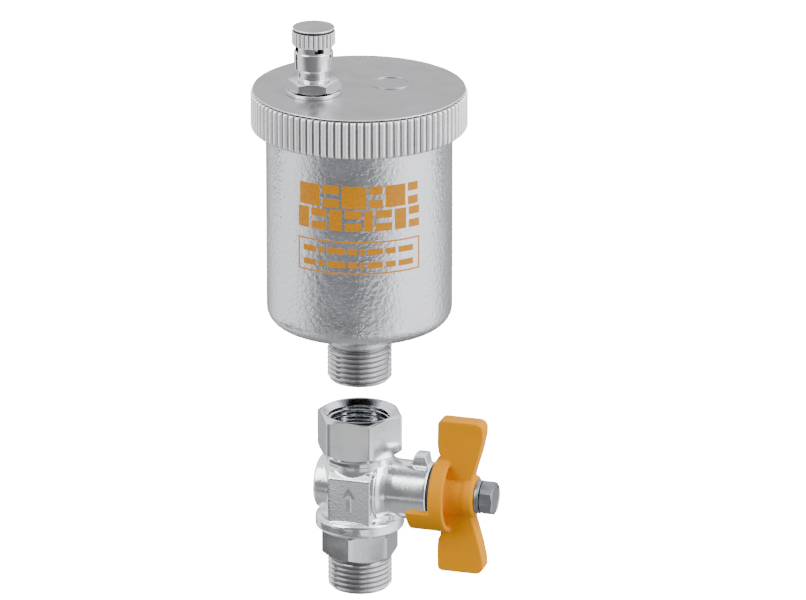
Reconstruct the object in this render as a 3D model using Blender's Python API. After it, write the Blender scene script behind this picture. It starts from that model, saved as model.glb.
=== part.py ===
"""Automatic air vent with its isolating ball valve, as separate pieces.

Metres, +Z up. The origin is the centre of the valve's lower end face, the +Z axis runs up the
water way and the valve's stem lies along +X. The vent stands above the valve, not yet screwed in.
"""

import math

import bmesh
import bpy
from mathutils import Matrix, Vector

MM = 0.001
TAU = 2.0 * math.pi

# G3/8 pipe thread, shared by the valve's two ends and the vent's tail.
THREAD_MAJOR = 8.33 * MM
THREAD_MINOR = 7.475 * MM
THREAD_PITCH = 1.337 * MM
THREAD_CREST = 0.22 * MM
THREAD_FLANK = 0.445 * MM
THREAD_CLEARANCE = 0.18 * MM

# Facet counts. Each is a multiple of the one before it, so that neighbouring rings join cleanly.
SMALL_SIDES = 24
HEX_SIDES = 48
BIG_SIDES = 72

# Isolating valve.
STEM_Z = 27.7 * MM
BORE_R = 4.3 * MM
BALL_R = 7.0 * MM
SEAT_R = 7.12 * MM
CHAMBER_R = 7.5 * MM
VALVE_TOP = 47.8 * MM
SOCKET_FLOOR = 38.3 * MM
BRANCH_R = 7.6 * MM
BRANCH_END = 20.2 * MM
STEM_R = 3.6 * MM
FIT = 0.05 * MM
PAD_HALF = 5.6 * MM
PAD_FACE = 9.75 * MM
PAD_LOW = 20.4 * MM
PAD_HIGH = 33.6 * MM

# Handle.
DISC_NEAR = 20.95 * MM
DISC_FAR = 24.9 * MM
DISC_R = 10.0 * MM
HUB_R = 5.3 * MM
HUB_END = 31.5 * MM
WING_SPAN = 20.5 * MM
WING_HALF = 2.5 * MM

# Vent. Heights below are measured from the tail thread's lower end and raised by VENT_Z.
VENT_Z = 56.7 * MM
BODY_R = 23.7 * MM
BODY_INNER = 22.0 * MM
CUP_BASE = 15.8 * MM
LID_R = 27.5 * MM
LID_ROOT = 26.7 * MM
LID_FOOT = 67.5 * MM
LID_RIBS = 90
OUTLET_TURN = math.radians(216.5)
OUTLET_X = 12.1 * MM
NOZZLE_TURN = math.radians(-22.5)

# Float gear, in the vent's own plane: x points from the vent's axis to the outlet.
PIVOT_X = 18.6 * MM
PIVOT_Z = 71.0 * MM
VALVE_ARM = PIVOT_X - OUTLET_X
DROOP = math.radians(9.2)
LEVER_THICK = 0.8 * MM
SCREW_X = 18.5 * MM
SCREW_Y = 6.6 * MM


def ring(bm, radius, z, sides):
    """A level circle of vertices about Z."""
    turns = [TAU * i / sides for i in range(sides)]
    return [bm.verts.new((radius * math.cos(a), radius * math.sin(a), z)) for a in turns]


def band(bm, first, second):
    """Faces between two rings whose vertex counts are equal or a whole multiple of each other."""
    if len(first) > len(second):
        first, second = second, first
    step = len(second) // len(first)
    for i, vert in enumerate(first):
        after = first[(i + 1) % len(first)]
        fan = [second[(i * step + k) % len(second)] for k in range(step + 1)]
        if step == 1:
            bm.faces.new((vert, after, fan[1], fan[0]))
            continue
        middle = step // 2
        for k in range(step):
            corner = vert if k < middle else after
            bm.faces.new((corner, fan[k + 1], fan[k]))
        bm.faces.new((vert, after, fan[middle]))


def skin(bm, rings, closed=False):
    """Faces along a run of rings; closed joins the last ring back to the first."""
    for first, second in zip(rings, rings[1:]):
        band(bm, first, second)
    if closed:
        band(bm, rings[-1], rings[0])


def finish(bm, name):
    """Weld, orient and hand the mesh over as an object with its round faces smooth."""
    bmesh.ops.remove_doubles(bm, verts=bm.verts, dist=0.002 * MM)
    bmesh.ops.recalc_face_normals(bm, faces=bm.faces)
    mesh = bpy.data.meshes.new(name)
    bm.to_mesh(mesh)
    bm.free()
    piece = bpy.data.objects.new(name, mesh)
    bpy.context.collection.objects.link(piece)
    return piece


def turned(name, profile, sides=SMALL_SIDES, closed=True, caps=False):
    """A turned solid from (radius, height) points in millimetres."""
    bm = bmesh.new()
    rings = [ring(bm, r * MM, z * MM, sides) for r, z in profile]
    skin(bm, rings, closed)
    if caps:
        bm.faces.new(rings[0])
        bm.faces.new(rings[-1])
    return finish(bm, name)


def block(name, low, high):
    """A box from two opposite corners in millimetres."""
    bm = bmesh.new()
    corners = [
        bm.verts.new((x * MM, y * MM, z * MM))
        for x in (low[0], high[0])
        for y in (low[1], high[1])
        for z in (low[2], high[2])
    ]
    for face in ((0, 1, 3, 2), (4, 6, 7, 5), (0, 4, 5, 1), (2, 3, 7, 6), (0, 2, 6, 4), (1, 5, 7, 3)):
        bm.faces.new([corners[i] for i in face])
    return finish(bm, name)


def plate(name, outline, low, high):
    """A flat outline of (x, z) points in millimetres, given thickness along y."""
    bm = bmesh.new()
    near = [bm.verts.new((x * MM, low * MM, z * MM)) for x, z in outline]
    far = [bm.verts.new((x * MM, high * MM, z * MM)) for x, z in outline]
    bm.faces.new(near)
    bm.faces.new(far)
    band(bm, near, far)
    return finish(bm, name)


def placed(piece, matrix):
    piece.data.transform(matrix)
    return piece


def combine(piece, tool, operation):
    """Apply an exact boolean and drop the tool."""
    modifier = piece.modifiers.new("cut", "BOOLEAN")
    modifier.operation = operation
    modifier.solver = "EXACT"
    modifier.object = tool
    depsgraph = bpy.context.evaluated_depsgraph_get()
    mesh = bpy.data.meshes.new_from_object(piece.evaluated_get(depsgraph))
    piece.modifiers.clear()
    before = piece.data
    piece.data = mesh
    bpy.data.meshes.remove(before)
    mesh.name = piece.name
    bpy.data.objects.remove(tool)
    return piece


def along_x(piece, x=0.0, z=STEM_Z):
    """Lay a piece turned about Z along +X, on the valve's stem axis."""
    return placed(piece, Matrix.Translation((x, 0.0, z)) @ Matrix.Rotation(math.pi / 2, 4, "Y"))


def arc(centre, radius, start, end, steps):
    """Profile points on an arc, angles in degrees from the +radius direction."""
    angles = [math.radians(start + (end - start) * i / steps) for i in range(steps + 1)]
    return [(centre[0] + radius * math.cos(a), centre[1] + radius * math.sin(a)) for a in angles]


# Threads ---------------------------------------------------------------------------------------


def thread_radius(height, extra):
    """Thread radius at a height above its crest, on the helix."""
    at = height % THREAD_PITCH
    half = THREAD_CREST / 2.0
    if at > THREAD_PITCH / 2.0:
        at = THREAD_PITCH - at
    slope = min(max((at - half) / THREAD_FLANK, 0.0), 1.0)
    return THREAD_MAJOR - slope * (THREAD_MAJOR - THREAD_MINOR) + extra


def thread(bm, low, high, ends, extra=0.0, outside=True):
    """A right-hand helical surface from low to high.

    The crests lie on one helix through the whole object, so the vent's tail screws into the valve
    with its thread in step. ends holds the plain radius at the low and high end, where the thread
    runs out; it runs out inwards on an outside thread and outwards on an inside one.
    """
    half = THREAD_CREST / 2.0
    knots = (-half, half, half + THREAD_FLANK, THREAD_PITCH - half - THREAD_FLANK)
    first = math.floor(low / THREAD_PITCH) - 1
    last = math.ceil(high / THREAD_PITCH) + 1
    starts = [k * THREAD_PITCH + knot for k in range(first, last + 1) for knot in knots]
    starts.append((last + 1) * THREAD_PITCH - half)
    grid = []
    for j in range(SMALL_SIDES):
        turn = TAU * j / SMALL_SIDES
        column = []
        for start in starts:
            z = min(max(start + THREAD_PITCH * j / SMALL_SIDES, low), high)
            radius = thread_radius(start, extra)
            if outside:
                radius = min(radius, ends[0] + (z - low), ends[1] + 2.0 * (high - z))
            else:
                radius = max(radius, ends[1] - (high - z))
            if z in (low, high):
                radius = ends[0] if z == low else ends[1]
            column.append(bm.verts.new((radius * math.cos(turn), radius * math.sin(turn), z)))
        grid.append(column)
    rows = len(starts)
    for j in range(SMALL_SIDES):
        shift = 4 if j == SMALL_SIDES - 1 else 0
        after = grid[(j + 1) % SMALL_SIDES]
        for i in range(rows - 1 - shift):
            bm.faces.new((grid[j][i], after[i + shift], after[i + 1 + shift], grid[j][i + 1]))


def hexagon(bm, flats, low, high, circle_low, circle_high, turn):
    """Rings of a hexagon with its corners turned off in a 30 degree chamfer at each end."""
    half = flats / 2.0
    tan30 = math.tan(math.radians(30.0))
    rings = [ring(bm, circle_low, low, HEX_SIDES), [], [], ring(bm, circle_high, high, HEX_SIDES)]
    for i in range(HEX_SIDES):
        angle = TAU * i / HEX_SIDES
        off = (angle - turn) % (TAU / 6) - TAU / 12
        radius = half / math.cos(off)
        drop = max(radius - circle_low, 0.0) * tan30
        rise = max(radius - circle_high, 0.0) * tan30
        x, y = radius * math.cos(angle), radius * math.sin(angle)
        rings[1].append(bm.verts.new((x, y, low + drop)))
        rings[2].append(bm.verts.new((x, y, high - rise)))
    return rings


# Isolating valve -------------------------------------------------------------------------------


def make_end_connector():
    """Lower tail: pipe thread, hexagon and the spigot that screws into the valve body."""
    bm = bmesh.new()
    low_ring = ring(bm, 7.3 * MM, 0.0, SMALL_SIDES)
    high_ring = ring(bm, 7.45 * MM, 8.7 * MM, SMALL_SIDES)
    thread(bm, 0.0, 8.7 * MM, (7.3 * MM, 7.45 * MM))
    relief = [ring(bm, 7.45 * MM, 9.1 * MM, SMALL_SIDES)]
    corners = hexagon(bm, 17.6 * MM, 9.1 * MM, 16.35 * MM, 8.6 * MM, 8.7 * MM, TAU / 12)
    spigot = [
        ring(bm, r * MM, z * MM, SMALL_SIDES)
        for r, z in (
            (7.9, 16.35), (7.9, 18.3), (7.1, 18.3), (7.1, 19.5), (7.9, 19.5), (7.9, 20.7),
            (7.6, 21.0), (BORE_R / MM, 21.0), (BORE_R / MM, 0.8), (BORE_R / MM + 0.8, 0.0),
        )
    ]
    skin(bm, [high_ring, *relief, *corners, *spigot, low_ring])
    return finish(bm, "end_connector")


def valve_outside():
    """The valve body's outer skin, closed top and bottom, before any passage is cut."""
    bm = bmesh.new()
    chamber = [
        ring(bm, r * MM, z * MM, HEX_SIDES)
        for r, z in (
            (10.9, 16.6), (11.45, 17.1), (11.45, 19.5), (11.0, 20.1), (9.5, 20.7), (9.35, 21.2),
            (9.35, 31.2), (9.1, 32.6), (8.9, 34.2), (8.9, 36.3), (9.3, 36.8),
        )
    ]
    corners = hexagon(bm, 20.0 * MM, 37.2 * MM, VALVE_TOP, 9.8 * MM, 9.75 * MM, 0.0)
    bm.faces.new(chamber[0])
    skin(bm, [*chamber, *corners])
    bm.faces.new(corners[-1])
    return finish(bm, "valve_body")


def valve_passage():
    """The socket thread, water way and ball chamber, as one solid to be cut away."""
    bm = bmesh.new()
    floor = SOCKET_FLOOR
    lead = VALVE_TOP - 0.8 * MM
    low_ring = ring(bm, THREAD_MINOR + THREAD_CLEARANCE, floor, SMALL_SIDES)
    high_ring = ring(bm, THREAD_MAJOR + THREAD_CLEARANCE, lead, SMALL_SIDES)
    ends = (THREAD_MINOR + THREAD_CLEARANCE, THREAD_MAJOR + THREAD_CLEARANCE)
    thread(bm, floor, lead, ends, extra=THREAD_CLEARANCE, outside=False)
    top = [ring(bm, 9.2 * MM, VALVE_TOP, SMALL_SIDES), ring(bm, 9.2 * MM, VALVE_TOP + MM, SMALL_SIDES)]
    skin(bm, [high_ring, *top])
    bm.faces.new(top[-1])
    lower = [
        ring(bm, r * MM, z * MM, SMALL_SIDES)
        for r, z in (
            (BORE_R / MM, 38.3), (BORE_R / MM, 34.4), (CHAMBER_R / MM, 34.4), (CHAMBER_R / MM, 21.3),
            (8.15, 21.3), (8.15, 16.9), (8.45, 16.6), (8.45, 15.6),
        )
    ]
    skin(bm, [low_ring, *lower])
    bm.faces.new(lower[-1])
    return finish(bm, "passage")


def stop_lug(name, centre):
    """A stop on the branch, centred at an angle from +Z towards -Y, that halts the handle's skirt."""
    bm = bmesh.new()
    sides = []
    for step in range(5):
        angle = math.radians(centre - 15.0 + 7.5 * step)
        section = ((14.0, 7.0), (15.2, 10.3), (18.2, 10.3), (19.2, 7.0))
        sides.append([
            bm.verts.new((x * MM, -r * MM * math.sin(angle), STEM_Z + r * MM * math.cos(angle)))
            for x, r in section
        ])
    skin(bm, sides)
    bm.faces.new(sides[0])
    bm.faces.new(sides[-1])
    return finish(bm, name)


def marking_pads():
    """Flat pads on the chamber's front and back, bevelled at the top."""
    half, face = PAD_HALF / MM, PAD_FACE / MM
    low, high = PAD_LOW / MM, PAD_HIGH / MM
    bevel = 1.6
    outline = (
        (-face, low), (face, low), (face, high - bevel), (face - bevel, high),
        (bevel - face, high), (-face, high - bevel),
    )
    pads = plate("pads", outline, -half, half)
    return placed(pads, Matrix.Rotation(math.pi / 2, 4, "Z"))


def make_valve_body():
    """Cast body with the branch for the stem, the back boss, the pads and the handle's stops."""
    body = valve_outside()
    radius, end = BRANCH_R / MM, BRANCH_END / MM
    branch = turned(
        "branch",
        (
            (7.0, 5.0), (radius + 1.5, 6.6), (radius + 0.7, 7.6), (radius + 0.2, 8.9), (radius, 10.4),
            (radius, end - 0.4), (radius - 0.3, end),
        ),
        SMALL_SIDES, closed=False, caps=True,
    )
    combine(body, along_x(branch), "UNION")
    back = turned(
        "back", ((6.4, -10.6), (6.9, -10.2), (7.3, -6.0)), SMALL_SIDES, closed=False, caps=True,
    )
    combine(body, along_x(back), "UNION")
    combine(body, marking_pads(), "UNION")
    for name, centre in (("upper_stop", 0.0), ("lower_stop", 211.0)):
        combine(body, stop_lug(name, centre), "UNION")
    combine(body, valve_passage(), "DIFFERENCE")
    way = (STEM_R + FIT) / MM
    stem_way = turned(
        "stem_way",
        ((4.75, 2.0), (4.75, 10.0), (way, 10.0), (way, end - 0.6), (way + 0.35, end), (way + 0.35, end + 0.8)),
        SMALL_SIDES, closed=False, caps=True,
    )
    combine(body, along_x(stem_way), "DIFFERENCE")
    return body


def seat_profile(side):
    """A soft seat ring: its inner corner is hollowed to the ball."""
    points = [(7.25, 6.45), (4.45, 6.45)]
    for radius in (4.45, 5.1, 5.7, 6.2):
        points.append((radius, math.sqrt((SEAT_R / MM) ** 2 - radius ** 2)))
    points.append((7.25, 3.3))
    return [(r, STEM_Z / MM + side * z) for r, z in points]


def make_ball():
    """Bored ball with a cross slot that the stem's tongue turns."""
    bore = 4.2
    tip = math.degrees(math.acos(bore / (BALL_R / MM)))
    profile = arc((0.0, 0.0), BALL_R / MM, -tip, tip, 12)
    ball = turned("ball", profile, sides=SMALL_SIDES)
    placed(ball, Matrix.Translation((0.0, 0.0, STEM_Z)))
    centre = STEM_Z / MM
    return combine(ball, block("slot", (5.0, -8.0, centre - 1.15), (8.0, 8.0, centre + 1.15)), "DIFFERENCE")


def make_stem():
    """Stem put in from inside: tongue, collar, two ring grooves, and flats for the handle."""
    radius = STEM_R / MM
    groove = radius - 0.75
    stem = turned(
        "stem",
        (
            (4.5, 7.3), (4.5, 8.9), (radius, 8.9), (radius, 11.4), (groove, 11.4), (groove, 12.6),
            (radius, 12.6), (radius, 14.4), (groove, 14.4), (groove, 15.6), (radius, 15.6),
            (radius, 28.2), (radius - 0.3, 28.5), (2.55, 28.5), (2.55, 17.5), (0.6, 16.6),
        ),
        sides=SMALL_SIDES, closed=False, caps=True,
    )
    along_x(stem)
    centre = STEM_Z / MM
    combine(stem, block("tongue", (5.2, -3.0, centre - 1.0), (7.6, 3.0, centre + 1.0)), "UNION")
    for side in (-1.0, 1.0):
        low, high = sorted((side * 2.95, side * 5.0))
        combine(stem, block("flat", (20.6, low, centre - 5.0), (29.0, high, centre + 5.0)), "DIFFERENCE")
    return stem


def o_ring(name, radius, thick, z):
    """A rubber ring; sizes in millimetres."""
    return turned(name, arc((radius, z), thick, 0.0, 300.0, 5), sides=SMALL_SIDES)


def wing_outline(side):
    """One wing of the butterfly handle, (x, z) from the stem's axis, rounded at its corners."""
    span = WING_SPAN / MM
    points = [(22.4, 2.0), (22.4, 10.6), (21.6, 12.2)]
    points += arc((22.6, span - 1.0), 1.0, 180.0, 90.0, 4)
    points += arc((31.9, span - 1.9), 1.9, 90.0, 0.0, 5)
    points += [(33.6, 16.6), (32.6, 12.5), (31.6, 9.0), (30.9, 6.6), (30.4, 4.6), (30.4, 2.0)]
    return [(x, side * z) for x, z in points]


def make_handle():
    """Butterfly handle: dished disc with a skirt that meets the stops, hub, and two wings."""
    rim, near, far = DISC_R / MM, DISC_NEAR / MM, DISC_FAR / MM
    hub, end = HUB_R / MM, HUB_END / MM
    handle = turned(
        "handle",
        (
            (rim - 0.5, near), (rim, near + 0.35), (rim, far - 0.4), (rim - 0.3, far), (rim - 1.1, far),
            (rim - 1.4, far - 0.4), (rim - 1.6, far - 1.7), (hub, far - 1.7), (hub - 0.3, far - 0.4),
            (hub - 0.5, end - 2.9), (hub, end - 1.9), (hub, end - 0.3), (hub - 0.3, end),
        ),
        36, closed=False, caps=True,
    )
    along_x(handle)
    centre = STEM_Z / MM
    for name, side in (("upper_wing", 1.0), ("lower_wing", -1.0)):
        outline = [(x, centre + z) for x, z in wing_outline(side)]
        combine(handle, plate(name, outline, -WING_HALF / MM, WING_HALF / MM), "UNION")
    combine(handle, skirt(), "UNION")
    hole = turned(
        "hole", ((3.75, 20.0), (3.75, 28.8), (2.65, 28.8), (2.65, 32.5)), SMALL_SIDES, closed=False, caps=True
    )
    along_x(hole)
    for side in (-1.0, 1.0):
        low, high = sorted((side * 3.05, side * 5.0))
        combine(hole, block("flat", (19.0, low, centre - 5.0), (28.8, high, centre + 5.0)), "DIFFERENCE")
    return combine(handle, hole, "DIFFERENCE")


def skirt():
    """Part of a sleeve behind the handle's disc, from 107 to 193 degrees round from +Z to -Y."""
    bm = bmesh.new()
    sides = []
    for step in range(12):
        angle = math.radians(107.0 + 86.0 * step / 11)
        section = ((15.0, 8.1), (15.0, 9.7), (15.3, 9.95), (22.0, 9.95), (22.0, 8.1))
        sides.append([
            bm.verts.new((x * MM, -r * MM * math.sin(angle), STEM_Z + r * MM * math.cos(angle)))
            for x, r in section
        ])
    skin(bm, sides)
    bm.faces.new(sides[0])
    bm.faces.new(sides[-1])
    return finish(bm, "skirt")


def make_handle_bolt():
    """Hexagon bolt whose shank screws into the end of the stem."""
    bm = bmesh.new()
    corners = hexagon(bm, 8.0 * MM, 33.0 * MM, 36.5 * MM, 4.0 * MM, 3.9 * MM, 0.0)
    shank = [ring(bm, r * MM, z * MM, SMALL_SIDES) for r, z in ((2.0, 19.5), (2.4, 19.9), (2.4, 33.0))]
    dish = [ring(bm, 3.3 * MM, 36.5 * MM, HEX_SIDES), ring(bm, 3.1 * MM, 36.3 * MM, HEX_SIDES)]
    bm.faces.new(shank[0])
    skin(bm, [*shank, *corners, *dish])
    bm.faces.new(dish[-1])
    return along_x(finish(bm, "handle_bolt"))


def make_lock_washer():
    """Split spring washer under the bolt's head."""
    washer = turned("lock_washer", ((2.6, 31.7), (4.3, 31.7), (4.3, 32.8), (2.6, 32.8)), sides=SMALL_SIDES)
    cut = block("split", (31.0, 1.5, -0.35), (33.5, 5.0, 0.35))
    placed(cut, Matrix.Translation((0.0, 0.0, STEM_Z)))
    return combine(along_x(washer), cut, "DIFFERENCE")


def make_valve():
    """Every piece of the isolating valve, with the ones that turn on the stem's axis last."""
    fixed = [
        make_end_connector(),
        o_ring("connector_seal", 7.65, 0.45, 18.9),
        make_valve_body(),
        turned("lower_seat", seat_profile(-1.0), sides=SMALL_SIDES),
        turned("upper_seat", seat_profile(1.0), sides=SMALL_SIDES),
        along_x(turned("stem_washer", ((3.7, 9.05), (4.6, 9.05), (4.6, 9.85), (3.7, 9.85)), SMALL_SIDES)),
    ]
    turning = [
        make_ball(),
        make_stem(),
        along_x(o_ring("inner_stem_ring", 3.22, 0.35, 12.0)),
        along_x(o_ring("outer_stem_ring", 3.22, 0.35, 15.0)),
        along_x(turned("handle_washer", ((3.75, 20.3), (7.0, 20.3), (7.0, 20.8), (3.75, 20.8)), SMALL_SIDES)),
        make_handle(),
        make_lock_washer(),
        make_handle_bolt(),
    ]
    for piece in turning:
        set_origin(piece, (0.0, 0.0, STEM_Z))
    return fixed + turning


# Vent ------------------------------------------------------------------------------------------


def raised(profile):
    """Profile heights in millimetres, from the tail thread's end to the object's frame."""
    return [(r, z + VENT_Z / MM) for r, z in profile]


def make_vent_body():
    """Threaded tail, neck and cup in one casting."""
    bm = bmesh.new()
    low, high = VENT_Z, VENT_Z + 9.6 * MM
    low_ring = ring(bm, 7.3 * MM, low, SMALL_SIDES)
    high_ring = ring(bm, 7.45 * MM, high, SMALL_SIDES)
    thread(bm, low, high, (7.3 * MM, 7.45 * MM))
    base = CUP_BASE / MM
    neck = raised(((7.45, 10.0), (8.35, 10.3), (8.35, base - 1.1), (8.8, base - 0.3), (9.6, base)))
    wall, inner, corner = BODY_R / MM, BODY_INNER / MM, 4.5
    cup = [(wall - corner, base)]
    cup += arc((wall - corner, base + corner), corner, -72.0, 0.0, 4)
    cup += [(wall, 73.9), (wall - 0.4, 74.6), (inner, 74.6), (inner, 21.0), (inner - 0.6, 19.6)]
    cup.append((inner - 2.0, 19.0))
    bore = raised(((6.6, 19.0), (5.6, 18.0), (5.6, 0.8), (6.2, 0.0)))
    rings = [high_ring]
    rings += [ring(bm, r * MM, z * MM, SMALL_SIDES) for r, z in neck]
    rings += [ring(bm, r * MM, z * MM, HEX_SIDES) for r, z in raised(cup)]
    rings += [ring(bm, r * MM, z * MM, SMALL_SIDES) for r, z in bore]
    skin(bm, [*rings, low_ring])
    return finish(bm, "vent_body")


def knurl(bm, crest, root, z, ribs):
    """A ring with straight ribs: two vertices on each crest and two in each groove."""
    verts = []
    pitch = TAU / ribs
    for i in range(ribs):
        for part, radius in ((-0.34, root), (-0.21, crest), (0.21, crest), (0.34, root)):
            angle = (i + part) * pitch
            verts.append(bm.verts.new((radius * math.cos(angle), radius * math.sin(angle), z)))
    return verts


def make_cover():
    """Ribbed screw cover with its flat top plate and a plain raised ring on it."""
    bm = bmesh.new()
    lift = VENT_Z / MM
    low = LID_FOOT / MM
    under = [ring(bm, r * MM, (z + lift) * MM, BIG_SIDES) for r, z in ((24.3, 76.1), (24.3, low + 0.4))]
    foot = ring(bm, 26.3 * MM, (low + lift) * MM, BIG_SIDES)
    inner_foot = ring(bm, 24.6 * MM, (low + lift) * MM, BIG_SIDES)
    ribs = [knurl(bm, LID_R, LID_ROOT, (z + lift) * MM, LID_RIBS) for z in (low + 0.8, 76.9)]
    top = [
        ring(bm, r * MM, (z + lift) * MM, BIG_SIDES)
        for r, z in ((26.5, 77.15), (26.5, 77.35), (27.0, 77.4), (27.0, 77.8), (26.7, 78.1))
    ]
    bm.faces.new(under[0])
    skin(bm, [*under, inner_foot, foot, *ribs, *top])
    bm.faces.new(top[-1])
    cover = finish(bm, "cover")
    mark = turned("mark", raised(((4.6, 77.9), (5.2, 77.9), (5.2, 78.35), (4.6, 78.35))), SMALL_SIDES)
    combine(cover, placed(mark, Matrix.Translation((6.6 * MM, 5.8 * MM, 0.0))), "UNION")
    hole = turned("hole", raised(((4.2, 75.0), (4.2, 79.0))), SMALL_SIDES, closed=False, caps=True)
    combine(cover, to_outlet(hole, OUTLET_X), "DIFFERENCE")
    for side in (-SCREW_Y, SCREW_Y):
        pilot = turned("pilot", raised(((1.3, 75.0), (1.3, 77.4))), 12, closed=False, caps=True)
        combine(cover, to_outlet(pilot, SCREW_X, side), "DIFFERENCE")
    return cover


def to_outlet(piece, x, y=0.0):
    """Carry a piece from the axis out into the float gear's plane."""
    turn = Matrix.Rotation(OUTLET_TURN, 4, "Z")
    return placed(piece, turn @ Matrix.Translation((x, y, 0.0)))


def make_nozzle():
    """Outlet: seat below the cover, hexagon, barrel and a crown slotted to let the air out."""
    bm = bmesh.new()
    lift = VENT_Z / MM
    seat = raised(((1.35, 90.6), (1.35, 74.9), (2.0, 74.9), (2.4, 75.3), (4.0, 75.3), (4.0, 79.1)))
    corners = hexagon(bm, 12.3 * MM, (79.1 + lift) * MM, (82.0 + lift) * MM, 6.1 * MM, 5.9 * MM, NOZZLE_TURN)
    upper = raised((
        (4.1, 82.0), (4.1, 84.5), (4.8, 84.7), (5.0, 84.9), (5.0, 89.0), (4.9, 89.2), (4.65, 89.2),
        (4.65, 92.4), (3.6, 92.4), (3.6, 89.5), (2.3, 89.5), (2.3, 92.2), (1.6, 92.2),
    ))
    rings = [ring(bm, r * MM, z * MM, SMALL_SIDES) for r, z in seat] + corners
    rings += [ring(bm, r * MM, z * MM, SMALL_SIDES) for r, z in upper]
    skin(bm, rings, closed=True)
    nozzle = finish(bm, "outlet_nozzle")
    for turn in range(4):
        slot = block("slot", (2.9, -1.2, 89.5 + lift), (6.0, 1.2, 93.0 + lift))
        combine(nozzle, placed(slot, Matrix.Rotation(TAU * turn / 4, 4, "Z")), "DIFFERENCE")
    return to_outlet(nozzle, OUTLET_X)


def make_cap():
    """Fluted outlet cap: screwed down it covers the crown's slots."""
    bm = bmesh.new()
    lift = VENT_Z / MM
    flutes = 32
    inside = ((3.0, 94.6), (4.8, 94.6), (4.8, 91.2))
    rings = [ring(bm, r * MM, (z + lift) * MM, flutes) for r, z in inside]
    rings.append(ring(bm, 5.0 * MM, (90.9 + lift) * MM, flutes))
    for z in (91.3, 94.7):
        crests = []
        for i in range(2 * flutes):
            angle = TAU * i / (2 * flutes)
            radius = (5.55 if i % 2 == 0 else 5.2) * MM
            crests.append(bm.verts.new((radius * math.cos(angle), radius * math.sin(angle), (z + lift) * MM)))
        rings.append(crests)
    outside = ((5.05, 94.8), (5.05, 94.95), (5.2, 95.0), (5.2, 95.3), (4.9, 95.5))
    rings += [ring(bm, r * MM, (z + lift) * MM, flutes) for r, z in outside]
    bm.faces.new(rings[0])
    skin(bm, rings)
    bm.faces.new(rings[-1])
    return to_outlet(finish(bm, "outlet_cap"), OUTLET_X)


def make_bracket():
    """Hanger under the cover: a base plate and two ears that carry the lever's pin."""
    lift = VENT_Z / MM
    bracket = block("bracket", (17.0, -8.2, 75.0 + lift), (20.0, 8.2, 75.8 + lift))
    for side in (-1.0, 1.0):
        low, high = sorted((side * 3.6, side * 4.4))
        ear = block("ear", (17.0, low, 69.4 + lift), (20.2, high, 75.4 + lift))
        combine(bracket, ear, "UNION")
    pin_way = turned("pin_way", ((0.85, -6.0), (0.85, 6.0)), 16, closed=False, caps=True)
    combine(bracket, across(pin_way), "DIFFERENCE")
    for side in (-SCREW_Y, SCREW_Y):
        hole = turned("hole", raised(((1.3, 74.0), (1.3, 77.0))), 12, closed=False, caps=True)
        combine(bracket, placed(hole, Matrix.Translation((SCREW_X, side, 0.0))), "DIFFERENCE")
    return to_outlet(bracket, 0.0)


def across(piece):
    """Lay a piece turned about Z along y, on the lever's pivot."""
    turn = Matrix.Rotation(math.pi / 2, 4, "X")
    return placed(piece, Matrix.Translation((PIVOT_X, 0.0, PIVOT_Z + VENT_Z)) @ turn)


def make_screw(name, side):
    """Pan head screw holding the bracket to the cover."""
    profile = raised((
        (0.8, 74.1), (0.8, 73.5), (1.6, 73.6), (1.9, 74.0), (1.9, 74.8), (1.15, 74.8), (1.15, 77.0),
        (0.8, 77.2),
    ))
    screw = turned(name, profile, 12, closed=False, caps=True)
    return to_outlet(screw, SCREW_X, side)


def make_lever():
    """Lever modelled level from its pivot, then let down to where the float hangs lowest."""
    tube = turned("lever", ((0.88, -3.3), (0.88, 3.3), (1.4, 3.3), (1.4, -3.3)), 16)
    placed(tube, Matrix.Rotation(math.pi / 2, 4, "X"))
    half = LEVER_THICK / MM / 2.0
    combine(tube, block("strip", (-20.1, -2.5, -half), (-1.1, 2.5, half)), "UNION")
    arm = VALVE_ARM / MM
    combine(tube, block("slot", (-arm - 1.3, -1.2, -2.0), (-arm + 1.3, 1.2, 2.0)), "DIFFERENCE")
    place = Matrix.Translation((PIVOT_X, 0.0, PIVOT_Z + VENT_Z)) @ Matrix.Rotation(-DROOP, 4, "Y")
    placed(tube, place)
    return to_outlet(tube, 0.0)


def make_obturator():
    """Plug: needle up the nozzle's bore, head for the seal, and a waist gripped by the lever."""
    waist = (PIVOT_Z - VALVE_ARM * math.sin(DROOP)) / MM
    profile = raised((
        (0.6, 79.5), (0.95, 79.1), (0.95, 71.75), (2.6, 71.75), (2.6, waist + 0.85), (0.9, waist + 0.85),
        (0.9, waist - 0.85), (1.8, waist - 0.85), (1.8, waist - 1.7), (1.5, waist - 1.9),
    ))
    return to_outlet(turned("obturator", profile, 12, closed=False, caps=True), OUTLET_X)


def make_float_hook():
    """Stirrup riveted to the float's top; the lever's tip rides in its window."""
    lift = VENT_Z / MM
    window = 71.0 - (PIVOT_X / MM) * math.sin(DROOP)
    post = turned(
        "float_hook",
        raised(((2.2, 59.6), (2.6, 59.9), (2.6, 60.6), (1.4, 60.6), (1.4, 62.2), (3.0, 62.2), (3.0, 63.0))),
        12, closed=False, caps=True,
    )
    outline = ((-4.1, window + 1.5), (4.1, window + 1.5), (4.1, 64.6), (2.4, 62.6), (-2.4, 62.6), (-4.1, 64.6))
    frame = plate("frame", [(x, z + lift) for x, z in outline], -0.4, 0.4)
    placed(frame, Matrix.Rotation(math.pi / 2, 4, "Z"))
    combine(post, frame, "UNION")
    opening = block("opening", (-2.0, -3.1, window - 0.7 + lift), (2.0, 3.1, window + 0.7 + lift))
    combine(post, opening, "DIFFERENCE")
    return to_outlet(post, 0.0)


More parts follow.
